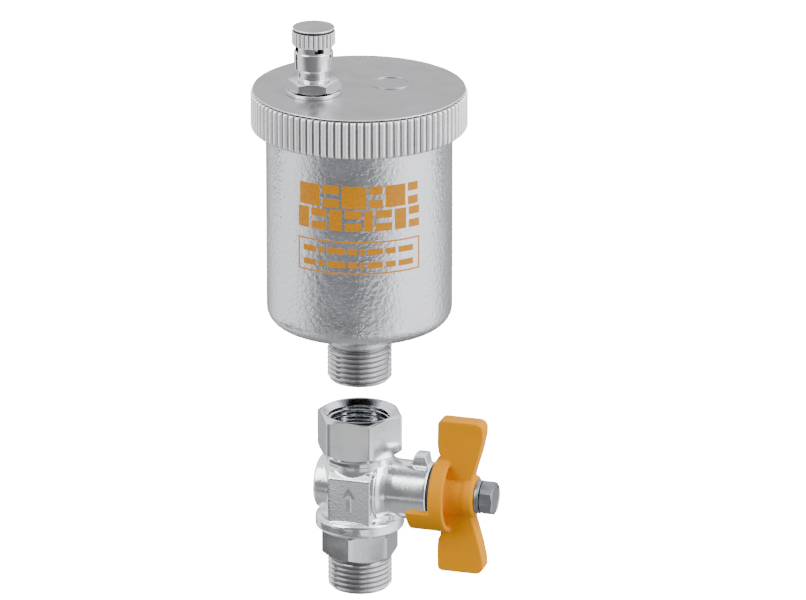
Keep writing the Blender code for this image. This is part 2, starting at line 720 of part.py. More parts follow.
def make_gear():
    """The float and everything that works the outlet, all carried by the cover."""
    waist = (PIVOT_Z - VALVE_ARM * math.sin(DROOP)) / MM
    head = raised(((1.05, 71.8), (2.6, 71.8), (2.6, 72.78), (1.05, 72.78)))
    bell = [(19.0, 22.6), (19.0, 58.5), *arc((15.5, 58.5), 3.5, 22.5, 90.0, 3), (1.55, 62.0), (1.55, 60.8)]
    bell += [(15.5, 60.8), (17.2, 60.0), (17.8, 58.4), (17.8, 22.6)]
    pin = across(turned("lever_pin", ((1.3, -5.3), (1.3, -4.65), (0.8, -4.65), (0.8, 5.0), (0.6, 5.2)),
                        16, closed=False, caps=True))
    pieces = {
        make_nozzle(): (OUTLET_X, 0.0, 79.1),
        to_outlet(turned("nozzle_washer", raised(((4.3, 78.25), (7.1, 78.25), (7.1, 78.95), (4.3, 78.95))),
                         SMALL_SIDES), OUTLET_X): (OUTLET_X, 0.0, 78.6),
        make_cap(): (OUTLET_X, 0.0, 90.9),
        to_outlet(turned("cap_gasket", raised(((0.9, 93.95), (3.2, 93.95), (3.2, 94.5), (0.9, 94.5))),
                         SMALL_SIDES), OUTLET_X): (OUTLET_X, 0.0, 94.2),
        make_obturator(): (OUTLET_X, 0.0, waist),
        to_outlet(turned("obturator_seal", head, SMALL_SIDES), OUTLET_X): (OUTLET_X, 0.0, waist),
        make_bracket(): (PIVOT_X, 0.0, 75.0),
        make_screw("left_bracket_screw", -SCREW_Y): (SCREW_X, -SCREW_Y, 74.8),
        make_screw("right_bracket_screw", SCREW_Y): (SCREW_X, SCREW_Y, 74.8),
        make_lever(): (PIVOT_X, 0.0, PIVOT_Z / MM),
        to_outlet(pin, 0.0): (PIVOT_X, 0.0, PIVOT_Z / MM),
        turned("float", raised(bell), 36): (0.0, 0.0, 62.0),
        make_float_hook(): (0.0, 0.0, 62.0),
    }
    turn = Matrix.Rotation(OUTLET_TURN, 4, "Z")
    for piece, (x, y, z) in pieces.items():
        set_origin(piece, turn @ Vector((x, y, z * MM + VENT_Z)))
    return list(pieces)


def make_vent():
    lift = VENT_Z / MM
    shell = [make_vent_body(), make_cover(), o_ring("cover_seal", 22.75, 0.6, 75.35 + lift)]
    for piece in shell:
        set_origin(piece, (0.0, 0.0, VENT_Z))
    return shell + make_gear()


# Finish ----------------------------------------------------------------------------------------

CHROME = ((0.66, 0.67, 0.69), 1.0, 0.22)
NICKEL = ((0.62, 0.63, 0.66), 1.0, 0.38)
BRASS = ((0.72, 0.52, 0.24), 1.0, 0.32)
STEEL = ((0.38, 0.38, 0.40), 1.0, 0.36)
RUBBER = ((0.025, 0.025, 0.027), 0.0, 0.7)
WHITE_SEAT = ((0.86, 0.86, 0.84), 0.0, 0.45)
GREY_PLASTIC = ((0.42, 0.43, 0.44), 0.0, 0.5)
YELLOW = ((0.80, 0.36, 0.01), 0.0, 0.34)
FINISHES = {
    "end_connector": CHROME, "connector_seal": RUBBER, "valve_body": CHROME, "lower_seat": WHITE_SEAT,
    "upper_seat": WHITE_SEAT, "stem_washer": WHITE_SEAT, "ball": CHROME, "stem": BRASS,
    "inner_stem_ring": RUBBER, "outer_stem_ring": RUBBER, "handle_washer": RUBBER, "handle": YELLOW,
    "lock_washer": STEEL, "handle_bolt": STEEL, "vent_body": NICKEL, "cover": NICKEL,
    "cover_seal": RUBBER, "outlet_nozzle": CHROME, "nozzle_washer": CHROME, "outlet_cap": CHROME,
    "cap_gasket": RUBBER, "obturator": BRASS, "obturator_seal": RUBBER, "bracket": STEEL,
    "left_bracket_screw": STEEL, "right_bracket_screw": STEEL, "lever": STEEL, "lever_pin": STEEL,
    "float": GREY_PLASTIC, "float_hook": BRASS,
}


def set_origin(piece, point):
    """Put the object's origin on a point, leaving its surface where it is."""
    piece.data.transform(Matrix.Translation(-Vector(point)))
    piece.location = point


def paint(piece):
    """Give a piece its own Principled material and smooth shading that keeps real edges."""
    colour, metallic, roughness = FINISHES[piece.name]
    material = bpy.data.materials.new(piece.name)
    material.use_nodes = True
    shader = material.node_tree.nodes["Principled BSDF"]
    shader.inputs["Base Color"].default_value = (*colour, 1.0)
    shader.inputs["Metallic"].default_value = metallic
    shader.inputs["Roughness"].default_value = roughness
    piece.data.materials.clear()
    piece.data.materials.append(material)
    piece.data.shade_smooth()
    piece.data.set_sharp_from_angle(angle=math.radians(34.0))


def main():
    for old in list(bpy.data.objects):
        bpy.data.objects.remove(old)
    for piece in make_valve() + make_vent():
        paint(piece)


main()
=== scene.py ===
import math

import bmesh
import bpy
from mathutils import Matrix, Vector


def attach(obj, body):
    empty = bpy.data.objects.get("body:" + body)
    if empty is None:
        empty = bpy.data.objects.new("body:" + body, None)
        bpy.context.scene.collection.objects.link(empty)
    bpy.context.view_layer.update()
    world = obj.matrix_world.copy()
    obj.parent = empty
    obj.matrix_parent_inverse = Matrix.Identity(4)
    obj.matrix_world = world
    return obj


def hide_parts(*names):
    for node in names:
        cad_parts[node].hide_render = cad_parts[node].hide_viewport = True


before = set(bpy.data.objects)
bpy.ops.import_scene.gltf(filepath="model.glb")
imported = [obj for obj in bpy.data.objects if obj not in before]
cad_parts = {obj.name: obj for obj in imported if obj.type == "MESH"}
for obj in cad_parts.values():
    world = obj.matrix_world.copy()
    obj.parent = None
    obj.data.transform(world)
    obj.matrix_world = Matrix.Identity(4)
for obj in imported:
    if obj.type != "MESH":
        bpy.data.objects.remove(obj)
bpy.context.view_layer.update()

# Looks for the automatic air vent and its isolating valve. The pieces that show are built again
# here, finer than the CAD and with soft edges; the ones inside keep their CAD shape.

MM = 0.001
TAU = 2.0 * math.pi

# Threads, as in the CAD: G3/8, crests on one helix through the whole object.
MAJOR = 8.33
MINOR = 7.475
PITCH = 1.337
CREST = 0.22
FLANK = 0.445
ROOT_R = 7.72  # thread faces nearer the axis than this get the darker root colour, painted shade in the thread's roots

# Places and turns shared with the CAD.
STEM_Z = 27.7
VENT_Z = 56.7
OUTLET_TURN = math.radians(216.5)
NOZZLE_TURN = math.radians(-22.5)
OUTLET_X = 12.1
BODY_R = 23.7

FINE = 96  # sides of a turned piece
SHARP_ANGLE = math.radians(38.0)
PRINT_CENTRE = math.radians(-73.0)
PRINT_GAP = 0.75
DASH_GAP = 0.8
DASH_START = -14.9
FRAME_HALF = 16.5
FRAME_LOW = 36.2
FRAME_HIGH = 44.9
FRAME_LINE = 0.4
COVER_RIBS = 90
CAP_FLUTES = 28

# Studio: where the camera stands, and how bright the surroundings are.
AZIMUTH = math.radians(17.0)
ELEVATION = math.radians(19.4)
DISTANCE = 2.0
LENS = 350.0
LOOK_Z = 0.0778
LOOK_RIGHT = 0.0111
LAMP_DISTANCE = 1.2
LAMP_SIZE = (0.8, 1.0)
LAMP_AIM = 0.08
WORLD = 1.9
DARK = 0.15
FLOOR_GLOW = 16.0
CARD_DISTANCE = 0.26


# Mesh helpers, in millimetres ------------------------------------------------------------------


def ring(bm, radius, z, sides):
    """A level circle of vertices."""
    turns = [TAU * i / sides for i in range(sides)]
    return [bm.verts.new((radius * math.cos(a), radius * math.sin(a), z)) for a in turns]


def band(bm, first, second):
    """Faces between two rings whose counts are equal or a whole multiple of each other."""
    if len(first) > len(second):
        first, second = second, first
    step = len(second) // len(first)
    for i, vert in enumerate(first):
        after = first[(i + 1) % len(first)]
        fan = [second[(i * step + k) % len(second)] for k in range(step + 1)]
        if step == 1:
            bm.faces.new((vert, after, fan[1], fan[0]))
            continue
        middle = step // 2
        for k in range(step):
            bm.faces.new((vert if k < middle else after, fan[k + 1], fan[k]))
        bm.faces.new((vert, after, fan[middle]))


def skin(bm, rings, closed=False):
    """Faces along a run of rings."""
    for first, second in zip(rings, rings[1:]):
        band(bm, first, second)
    if closed:
        band(bm, rings[-1], rings[0])


def soften(points, radius, closed=False, steps=3):
    """Round every corner of a profile by up to radius."""
    out = []
    count = len(points)
    for i, corner in enumerate(points):
        if not closed and i in (0, count - 1):
            out.append(corner)
            continue
        here = Vector(corner)
        before = Vector(points[i - 1]) - here
        after = Vector(points[(i + 1) % count]) - here
        if before.length < 1e-6 or after.length < 1e-6 or abs(before.angle(after) - math.pi) < 0.12:
            out.append(corner)
            continue
        reach = min(radius, 0.45 * before.length, 0.45 * after.length)
        start = here + before.normalized() * reach
        end = here + after.normalized() * reach
        for k in range(steps + 1):
            t = k / steps
            point = start.lerp(here, t).lerp(here.lerp(end, t), t)
            out.append((point.x, point.y))
    return out


def arc(centre, radius, start, end, steps):
    """Profile points on an arc, angles in degrees."""
    angles = [math.radians(start + (end - start) * i / steps) for i in range(steps + 1)]
    return [(centre[0] + radius * math.cos(a), centre[1] + radius * math.sin(a)) for a in angles]


def solid(bm, name):
    """Weld and orient a mesh made in millimetres, and hand it over as an object in metres."""
    bmesh.ops.remove_doubles(bm, verts=bm.verts, dist=0.002)
    bmesh.ops.recalc_face_normals(bm, faces=bm.faces)
    bmesh.ops.scale(bm, vec=(MM, MM, MM), verts=bm.verts)
    mesh = bpy.data.meshes.new(name)
    bm.to_mesh(mesh)
    bm.free()
    piece = bpy.data.objects.new(name, mesh)
    bpy.context.scene.collection.objects.link(piece)
    return piece


def turned(name, profile, sides=FINE, closed=True, caps=False, soft=0.15):
    """A turned solid from (radius, height) points, its edges softened."""
    bm = bmesh.new()
    rings = [ring(bm, r, z, sides) for r, z in soften(profile, soft, closed)]
    skin(bm, rings, closed)
    if caps:
        bm.faces.new(rings[0])
        bm.faces.new(rings[-1])
    return solid(bm, name)


def block(name, low, high):
    """A box between two corners."""
    bm = bmesh.new()
    bmesh.ops.create_cube(bm, size=1.0)
    size = [b - a for a, b in zip(low, high)]
    middle = [(a + b) / 2.0 for a, b in zip(low, high)]
    place = Matrix.Translation(middle) @ Matrix.Diagonal((*size, 1.0))
    bmesh.ops.transform(bm, matrix=place, verts=bm.verts)
    return solid(bm, name)


def slab(name, outline, low, high):
    """A flat outline of (x, z) points given thickness along y."""
    bm = bmesh.new()
    near = [bm.verts.new((x, low, z)) for x, z in outline]
    far = [bm.verts.new((x, high, z)) for x, z in outline]
    bm.faces.new(near)
    bm.faces.new(far)
    band(bm, near, far)
    return solid(bm, name)


def placed(piece, matrix):
    """Move a piece's mesh and hand the piece back."""
    piece.data.transform(matrix)
    return piece


def along_x(piece):
    """Lay a piece turned about Z along +X on the stem's axis."""
    turn = Matrix.Rotation(math.pi / 2, 4, "Y")
    return placed(piece, Matrix.Translation((0.0, 0.0, STEM_Z * MM)) @ turn)


def at_outlet(piece):
    """Carry a piece from the vent's axis out to the outlet."""
    turn = Matrix.Rotation(OUTLET_TURN, 4, "Z")
    return placed(piece, turn @ Matrix.Translation((OUTLET_X * MM, 0.0, 0.0)))


def bake(piece):
    """Replace a piece's mesh by what its modifiers make of it."""
    depsgraph = bpy.context.evaluated_depsgraph_get()
    mesh = bpy.data.meshes.new_from_object(piece.evaluated_get(depsgraph))
    piece.modifiers.clear()
    before = piece.data
    piece.data = mesh
    bpy.data.meshes.remove(before)
    return piece


def combine(piece, tool, operation):
    """Add a tool to a piece or cut it away, and drop the tool."""
    modifier = piece.modifiers.new("cut", "BOOLEAN")
    modifier.operation = operation
    modifier.solver = "EXACT"
    modifier.object = tool
    bake(piece)
    bpy.data.objects.remove(tool)
    return piece


def melt(piece, voxel, rounds):
    """Blend a joined-up solid into one casting with rounded inner and outer corners."""
    remesh = piece.modifiers.new("melt", "REMESH")
    remesh.mode = "VOXEL"
    remesh.voxel_size = voxel * MM
    smooth = piece.modifiers.new("smooth", "SMOOTH")
    smooth.factor = 0.5
    smooth.iterations = rounds
    return bake(piece)


def thread(bm, low, high, ends, extra=0.0, outside=True):
    """A right-hand helical surface from low to high that runs out to plain rings at both ends."""
    half = CREST / 2.0
    steps = 3
    knots = []
    for start, width in (
        (-half, CREST), (half, FLANK), (half + FLANK, CREST), (PITCH - half - FLANK, FLANK),
    ):
        knots += [start + width * k / steps for k in range(steps)]
    first = math.floor(low / PITCH) - 1
    last = math.ceil(high / PITCH) + 1
    starts = [k * PITCH + knot for k in range(first, last + 1) for knot in knots]
    starts.append((last + 1) * PITCH - half)
    flat = 0.04
    grid = []
    for j in range(FINE):
        turn = TAU * j / FINE
        column = []
        for start in starts:
            z = min(max(start + PITCH * j / FINE, low), high)
            wave = start % PITCH
            wave = min(wave, PITCH - wave)
            slope = min(max((wave - half) / FLANK, 0.0), 1.0)
            slope = slope * slope * (3.0 - 2.0 * slope)
            radius = MAJOR - flat - slope * (MAJOR - MINOR - flat) + extra
            if outside:
                radius = min(radius, ends[0] + (z - low), ends[1] + 2.0 * (high - z))
            else:
                radius = max(radius, ends[1] - (high - z))
            if z in (low, high):
                radius = ends[0] if z == low else ends[1]
            column.append(bm.verts.new((radius * math.cos(turn), radius * math.sin(turn), z)))
        grid.append(column)
    for j in range(FINE):
        shift = len(knots) if j == FINE - 1 else 0
        after = grid[(j + 1) % FINE]
        for i in range(len(starts) - 1 - shift):
            bm.faces.new((grid[j][i], after[i + shift], after[i + 1 + shift], grid[j][i + 1]))


def hexagon(bm, flats, low, high, circle_low, circle_high, turn, corner=0.5):
    """Rings of a hexagon with rounded corners, turned off in a chamfer at each end."""
    half = flats / 2.0
    tip = half / math.cos(TAU / 12)
    tan30 = math.tan(math.radians(30.0))
    back = corner * (1.0 / math.cos(TAU / 12) - 1.0)
    reach = TAU / 80
    outline = []
    for i in range(FINE):
        angle = TAU * i / FINE
        off = (angle - turn) % (TAU / 6) - TAU / 12
        radius = half / math.cos(off)
        blend = max(0.0, 1.0 - (TAU / 12 - abs(off)) / reach)
        outline.append((angle, min(radius, tip - back) - 0.25 * back * blend))
    rings = []
    for inset, level in ((0.0, "low"), (0.02, "low"), (0.02, "high"), (0.0, "high")):
        verts = []
        for angle, radius in outline:
            if inset == 0.0:
                radius = circle_low if level == "low" else circle_high
                z = low if level == "low" else high
            elif level == "low":
                z = low + max(radius - circle_low, 0.0) * tan30 + inset
            else:
                z = high - max(radius - circle_high, 0.0) * tan30 - inset
            verts.append(bm.verts.new((radius * math.cos(angle), radius * math.sin(angle), z)))
        rings.append(verts)
    return rings


# Materials -------------------------------------------------------------------------------------


def material(
    name, colour, metallic, roughness, grain=0.0, grain_size=0.4, wear=0.08, tint=0.06, gloss=0.5
):
    """A Principled finish with noise in its colour, roughness and surface; grains in millimetres."""
    mat = bpy.data.materials.new(name)
    mat.use_nodes = True
    nodes, links = mat.node_tree.nodes, mat.node_tree.links
    shader = nodes["Principled BSDF"]
    shader.inputs["Metallic"].default_value = metallic
    shader.inputs["Specular IOR Level"].default_value = gloss
    place = nodes.new("ShaderNodeTexCoord")
    broad = nodes.new("ShaderNodeTexNoise")
    broad.inputs["Scale"].default_value = 140.0
    broad.inputs["Detail"].default_value = 5.0
    links.new(place.outputs["Object"], broad.inputs["Vector"])
    shade = nodes.new("ShaderNodeMix")
    shade.data_type = "RGBA"
    shade.inputs["A"].default_value = (*[c * (1.0 - tint) for c in colour], 1.0)
    shade.inputs["B"].default_value = (*[min(c * (1.0 + tint), 1.0) for c in colour], 1.0)
    links.new(broad.outputs["Fac"], shade.inputs["Factor"])
    links.new(shade.outputs["Result"], shader.inputs["Base Color"])
    rough = nodes.new("ShaderNodeMapRange")
    rough.inputs["From Min"].default_value = 0.3
    rough.inputs["From Max"].default_value = 0.7
    rough.inputs["To Min"].default_value = max(roughness - wear, 0.02)
    rough.inputs["To Max"].default_value = roughness + wear
    links.new(broad.outputs["Fac"], rough.inputs["Value"])
    links.new(rough.outputs["Result"], shader.inputs["Roughness"])
    fine = nodes.new("ShaderNodeTexNoise")
    fine.inputs["Scale"].default_value = 1000.0 / max(grain_size, 0.05)
    fine.inputs["Detail"].default_value = 3.0
    links.new(place.outputs["Object"], fine.inputs["Vector"])
    bump = nodes.new("ShaderNodeBump")
    bump.inputs["Strength"].default_value = 1.0
    bump.inputs["Distance"].default_value = max(grain, 0.002) * MM
    links.new(fine.outputs["Fac"], bump.inputs["Height"])
    links.new(bump.outputs["Normal"], shader.inputs["Normal"])
    return mat


def metal(colour, roughness, grain, grain_size, **more):
    """A bare metal's entry in the table below."""
    return dict(
        colour=colour, metallic=1.0, roughness=roughness, grain=grain, grain_size=grain_size, **more
    )


def plain(colour, roughness, grain, grain_size, **more):
    """A paint's, plastic's or rubber's entry in the table below."""
    return dict(
        colour=colour, metallic=0.0, roughness=roughness, grain=grain, grain_size=grain_size, **more
    )


FINISHES = {
    "cast": metal((0.74, 0.745, 0.785), 0.2, 0.21, 1.1),
    "neck": metal((0.60, 0.61, 0.64), 0.30, 0.2, 0.9),
    "satin": metal((0.46, 0.452, 0.465), 0.36, 0.008, 0.25),
    "ribs": dict(
        colour=(0.97, 0.98, 1.0), metallic=0.5, roughness=0.24, grain=0.03, grain_size=0.35
    ),
    # Painted shade: a darker colour laid in the grooves between the cover's ribs and between the cap's
    # flutes.
    "groove_shade": dict(
        colour=(0.46, 0.45, 0.475), metallic=0.9, roughness=0.34, grain=0.04, grain_size=0.3
    ),
    # Painted shade: a near-black colour on the band under the cover's top rim and on the cap's neck
    # under its disc, where shade falls.
    "recess_shade": metal((0.09, 0.09, 0.095), 0.4, 0.02, 0.3),
    # Painted shade: a darker colour for the thread roots, where shade falls.
    "thread_root_shade": metal((0.33, 0.32, 0.33), 0.34, 0.02, 0.3),
    "bright": metal((0.73, 0.74, 0.76), 0.11, 0.006, 0.5),
    "polished": metal((0.76, 0.76, 0.78), 0.07, 0.002, 0.4, wear=0.03),
    "forged": metal((0.9, 0.915, 0.935), 0.18, 0.03, 0.7),
    "steel": metal((0.30, 0.31, 0.33), 0.36, 0.01, 0.3),
    "stamped": metal((0.52, 0.52, 0.54), 0.28, 0.006, 0.3),
    "brass": metal((0.74, 0.53, 0.24), 0.26, 0.006, 0.3),
    "enamel": plain((0.70, 0.27, 0.0), 0.46, 0.02, 0.9, gloss=0.05),
    "print": plain((0.54, 0.21, 0.0), 0.42, 0.21, 1.1, gloss=0.3),
    "rubber": plain((0.022, 0.022, 0.024), 0.62, 0.02, 0.4),
    "seat": plain((0.84, 0.84, 0.81), 0.42, 0.006, 0.5),
    "moulded": plain((0.30, 0.31, 0.33), 0.45, 0.015, 0.5),
}
MATERIALS = {name: material(name, **facts) for name, facts in FINISHES.items()}

# Inner pieces that keep their CAD shape.
CARRIED = {
    "connector_seal": "rubber", "lower_seat": "seat", "upper_seat": "seat", "stem_washer": "seat",
    "ball": "bright", "stem": "brass", "inner_stem_ring": "rubber", "outer_stem_ring": "rubber",
    "cover_seal": "rubber", "cap_gasket": "rubber", "obturator": "brass", "obturator_seal": "rubber",
    "bracket": "stamped", "left_bracket_screw": "stamped", "right_bracket_screw": "stamped",
    "lever": "stamped", "lever_pin": "stamped", "float": "moulded", "float_hook": "brass",
}


def dress(piece, body, node, finish, replaces=True):
    """Shade a piece, ride it on its body and hide the CAD node that it stands for, when it replaces
    one.
    """
    piece.data.materials.clear()
    piece.data.materials.append(MATERIALS[finish])
    piece.data.shade_smooth()
    piece.data.set_sharp_from_angle(angle=SHARP_ANGLE)
    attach(piece, body)
    if replaces:
        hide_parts(node)
    return piece


# Isolating valve -------------------------------------------------------------------------------


def end_connector():
    """Lower tail: thread, hexagon, and the spigot inside the valve body."""
    bm = bmesh.new()
    low_ring = ring(bm, 7.3, 0.0, FINE)
    high_ring = ring(bm, 7.45, 8.7, FINE)
    thread(bm, 0.0, 8.7, (7.3, 7.45))
    corners = hexagon(bm, 17.6, 9.1, 16.35, 8.6, 8.7, TAU / 12)
    inside = soften((
        (7.9, 16.35), (7.9, 18.3), (7.1, 18.3), (7.1, 19.5), (7.9, 19.5), (7.9, 20.7), (7.6, 21.0),
        (4.3, 21.0), (4.3, 0.8), (5.1, 0.0),
    ), 0.15)
    rings = [high_ring, ring(bm, 7.45, 9.1, FINE), *corners]
    rings += [ring(bm, r, z, FINE) for r, z in inside]
    skin(bm, [*rings, low_ring])
    tail = dress(solid(bm, "tail_with_hexagon"), "valve", "end_connector", "bright")
    # The thread's roots get a darker colour: painted shade.
    tail.data.materials.append(MATERIALS["thread_root_shade"])
    for face in tail.data.polygons:
        if face.center.z < 8.9 * MM and face.center.xy.length < ROOT_R * MM:
            face.material_index = 1


def socket():
    """Upper half of the valve body: neck, hexagon and the socket's thread."""
    bm = bmesh.new()
    outside = soften(((8.6, 33.0), (8.88, 34.2), (8.88, 36.4), (9.3, 36.9), (9.8, 37.2)), 0.3)
    corners = hexagon(bm, 20.0, 37.2, 47.8, 9.8, 9.75, 0.0, corner=0.8)
    mouth = soften(((9.35, 47.8), (9.2, 47.75), (8.51, 47.0)), 0.1)
    low_ring = ring(bm, 7.655, 38.3, FINE)
    high_ring = ring(bm, 8.51, 47.0, FINE)
    thread(bm, 38.3, 47.0, (7.655, 8.51), extra=0.18, outside=False)
    rings = [ring(bm, r, z, FINE) for r, z in outside]
    rings += corners
    rings += [ring(bm, r, z, FINE) for r, z in mouth]
    skin(bm, [*rings, high_ring])
    lower = soften(((7.655, 38.3), (4.3, 38.3), (4.3, 34.4), (7.5, 34.4), (7.5, 33.0)), 0.15)
    skin(bm, [low_ring, *[ring(bm, r, z, FINE) for r, z in lower], rings[0]])
    dress(solid(bm, "socket_hexagon"), "valve", "valve_body", "bright", replaces=False)


def swept_about_stem(name, section, start, end, steps):
    """A section of (x, radius) points carried round the stem's axis, angles in degrees from the top."""
    bm = bmesh.new()
    sides = []
    for step in range(steps + 1):
        angle = math.radians(start + (end - start) * step / steps)
        across, up = -math.sin(angle), math.cos(angle)
        sides.append([bm.verts.new((x, r * across, STEM_Z + r * up)) for x, r in section])
    skin(bm, sides)
    bm.faces.new(sides[0])
    bm.faces.new(sides[-1])
    return solid(bm, name)


def stop_lug(name, centre):
    """A lug on the branch that the handle's skirt comes up against."""
    section = ((14.0, 6.6), (15.3, 10.4), (18.2, 10.4), (19.3, 6.6))
    return swept_about_stem(name, section, centre - 15.0, centre + 15.0, 8)


def casting():
    """Lower half of the valve body: collar, ball chamber, branch, boss and stops, cast in one."""
    profile = (
        (7.0, 16.55), (10.9, 16.55), (11.5, 17.1), (11.5, 19.6), (11.0, 20.2), (9.6, 20.7), (9.4, 21.3),
        (9.4, 31.2), (9.15, 32.6), (8.9, 34.2), (8.9, 35.6), (7.0, 35.6),
    )
    body = turned("chamber", profile, closed=False, caps=True, soft=0.3)
    profile = (
        (7.0, 4.0), (9.3, 6.6), (8.4, 7.7), (7.8, 9.0), (7.65, 10.6), (7.65, 19.4), (7.35, 19.7),
    )
    branch = turned("branch", profile, closed=False, caps=True)
    combine(body, along_x(branch), "UNION")
    back = turned("back", ((6.4, -10.7), (7.0, -10.2), (7.3, -5.0)), closed=False, caps=True)
    combine(body, along_x(back), "UNION")
    outline = ((-9.75, 20.4), (9.75, 20.4), (9.75, 32.0), (8.15, 33.6), (-8.15, 33.6), (-9.75, 32.0))
    pads = slab("pads", outline, -5.6, 5.6)
    combine(body, placed(pads, Matrix.Rotation(math.pi / 2, 4, "Z")), "UNION")
    combine(body, stop_lug("upper_stop", 0.0), "UNION")
    combine(body, stop_lug("lower_stop", 211.0), "UNION")
    melt(body, 0.2, 5)
    profile = ((4.3, 36.5), (4.3, 34.4), (7.5, 34.4), (7.5, 21.3), (8.15, 21.3), (8.15, 15.5))
    inner = turned("inner", profile, closed=False, caps=True, soft=0.02)
    combine(body, inner, "DIFFERENCE")
    profile = ((4.75, 2.0), (4.75, 10.0), (3.65, 10.0), (3.65, 19.3), (4.0, 19.8), (4.0, 22.0))
    stem_way = turned("stem_way", profile, closed=False, caps=True, soft=0.02)
    combine(body, along_x(stem_way), "DIFFERENCE")
    dress(body, "valve", "valve_body", "forged")
    socket()


def flow_arrow():
    """Plain raised arrow on the chamber's front pad, up the water way."""
    bm = bmesh.new()
    outline = ((-0.7, -3.4), (0.7, -3.4), (0.7, 0.6), (2.0, 0.6), (0.0, 3.6), (-2.0, 0.6), (-0.7, 0.6))
    rings = []
    for y, scale in ((-9.6, 1.0), (-9.95, 0.97), (-10.05, 0.85)):
        rings.append([bm.verts.new((u * scale, y, 26.6 + v * scale)) for u, v in outline])
    skin(bm, rings)
    bm.faces.new(rings[0])
    bm.faces.new(rings[-1])
    dress(solid(bm, "flow_arrow"), "valve", "valve_body", "forged", replaces=False)


def wing_outline(side):
    """One wing of the handle, above the stem for side 1 and below it for side -1."""
    points = [(22.4, 1.0), (22.4, 10.4), (21.7, 12.0), (21.5, 14.0)]
    points += arc((22.7, 19.4), 1.1, 180.0, 90.0, 6)
    points += arc((31.7, 18.5), 2.0, 90.0, 0.0, 8)
    points += [(33.6, 16.6), (32.7, 12.5), (31.7, 9.0), (31.0, 6.6), (30.5, 4.6), (30.4, 1.0)]
    return [(x, STEM_Z + side * z) for x, z in points]


def handle():
    """Butterfly handle, enamelled: disc, skirt, hub and wings run into one another."""
    profile = (
        (9.5, 20.95), (10.0, 21.3), (10.0, 24.5), (9.6, 24.95), (8.9, 24.95), (8.5, 24.4), (8.3, 23.2),
        (5.5, 23.0), (5.2, 24.5), (4.9, 28.2), (5.4, 29.2), (5.5, 31.0), (5.1, 31.5),
    )
    body = along_x(turned("grip", profile, closed=False, caps=True, soft=0.25))
    for name, side in (("upper_wing", 1.0), ("lower_wing", -1.0)):
        combine(body, slab(name, wing_outline(side), -2.5, 2.5), "UNION")
    section = ((15.0, 8.1), (15.0, 9.95), (22.5, 9.95), (22.5, 8.1))
    combine(body, swept_about_stem("skirt", section, 107.0, 193.0, 22), "UNION")
    melt(body, 0.2, 9)
    profile = ((3.75, 20.0), (3.75, 28.8), (2.65, 28.8), (2.65, 32.5))
    hole = turned("hole", profile, FINE // 2, closed=False, caps=True, soft=0.02)
    combine(body, along_x(hole), "DIFFERENCE")
    dress(body, "handle_set", "handle", "enamel")
    body.visible_glossy = False


def handle_fixings():
    """The handle's bolt, its split spring washer and the black washer behind the handle."""
    bm = bmesh.new()
    corners = hexagon(bm, 8.0, 33.0, 36.5, 4.0, 3.85, 0.0, corner=0.3)
    shank = [ring(bm, r, z, FINE) for r, z in ((2.0, 19.5), (2.4, 19.9), (2.4, 33.0))]
    dish = [ring(bm, r, z, FINE) for r, z in ((3.4, 36.5), (3.2, 36.3), (0.8, 36.2))]
    bm.faces.new(shank[0])
    skin(bm, [*shank, *corners, *dish])
    bm.faces.new(dish[-1])
    dress(along_x(solid(bm, "bolt")), "handle_set", "handle_bolt", "steel")
    washer = along_x(turned("spring_washer", ((2.6, 31.7), (4.3, 31.7), (4.3, 32.8), (2.6, 32.8))))
    cut = block("split", (31.0, 1.5, STEM_Z - 0.35), (33.5, 5.0, STEM_Z + 0.35))
    dress(combine(washer, cut, "DIFFERENCE"), "handle_set", "lock_washer", "steel")
    profile = ((3.75, 19.8), (7.4, 19.8), (7.4, 20.88), (3.75, 20.88))
    disc = along_x(turned("black_washer", profile, soft=0.1))
    dress(disc, "handle_set", "handle_washer", "rubber")


# Vent ------------------------------------------------------------------------------------------


def raised(profile):
    """A vent profile lifted to where the vent stands."""
    return [(r, z + VENT_Z) for r, z in profile]


def vent_body():
    """Tail, rough neck and cup; the tail and neck differ in finish from the cup."""
    bm = bmesh.new()
    low, high = VENT_Z, VENT_Z + 9.6
    low_ring = ring(bm, 7.3, low, FINE)
    high_ring = ring(bm, 7.45, high, FINE)
    thread(bm, low, high, (7.3, 7.45))
    neck = soften(raised((
        (7.45, 9.6), (7.45, 10.0), (8.35, 10.3), (8.35, 12.0), (8.3, 13.6), (8.4, 14.7), (8.9, 15.6),
        (9.8, 15.8),
    )), 0.3)
    floor = [(9.8, 15.8), (14.0, 15.78), *arc((19.2, 20.3), 4.5, -90.0, 0.0, 12)]
    wall = [(BODY_R, 20.3 + (73.9 - 20.3) * k / 24) for k in range(1, 25)]
    top = [(23.3, 74.6), (22.0, 74.6), (22.0, 21.0), (21.4, 19.6), (20.0, 19.0)]
    bore = [(6.6, 19.0), (5.6, 18.0), (5.6, 0.8), (6.2, 0.0)]
    rings = [high_ring]
    rings += [ring(bm, r, z, FINE) for r, z in neck]
    rings += [ring(bm, r, z, 2 * FINE) for r, z in raised(floor + wall + top)]
    rings += [ring(bm, r, z, FINE) for r, z in raised(bore)]
    skin(bm, [*rings, low_ring])
    body = dress(solid(bm, "cup_and_tail"), "vent", "vent_body", "cast")
    # The tail's thread roots get a darker colour: painted shade.
    for finish in ("bright", "neck", "thread_root_shade"):
        body.data.materials.append(MATERIALS[finish])
    for face in body.data.polygons:
        z = face.center.z / MM - VENT_Z
        if z < 10.1:
            face.material_index = 3 if face.center.xy.length < ROOT_R * MM else 1
        elif z < 17.0 and face.center.xy.length < 10.0 * MM:
            face.material_index = 2


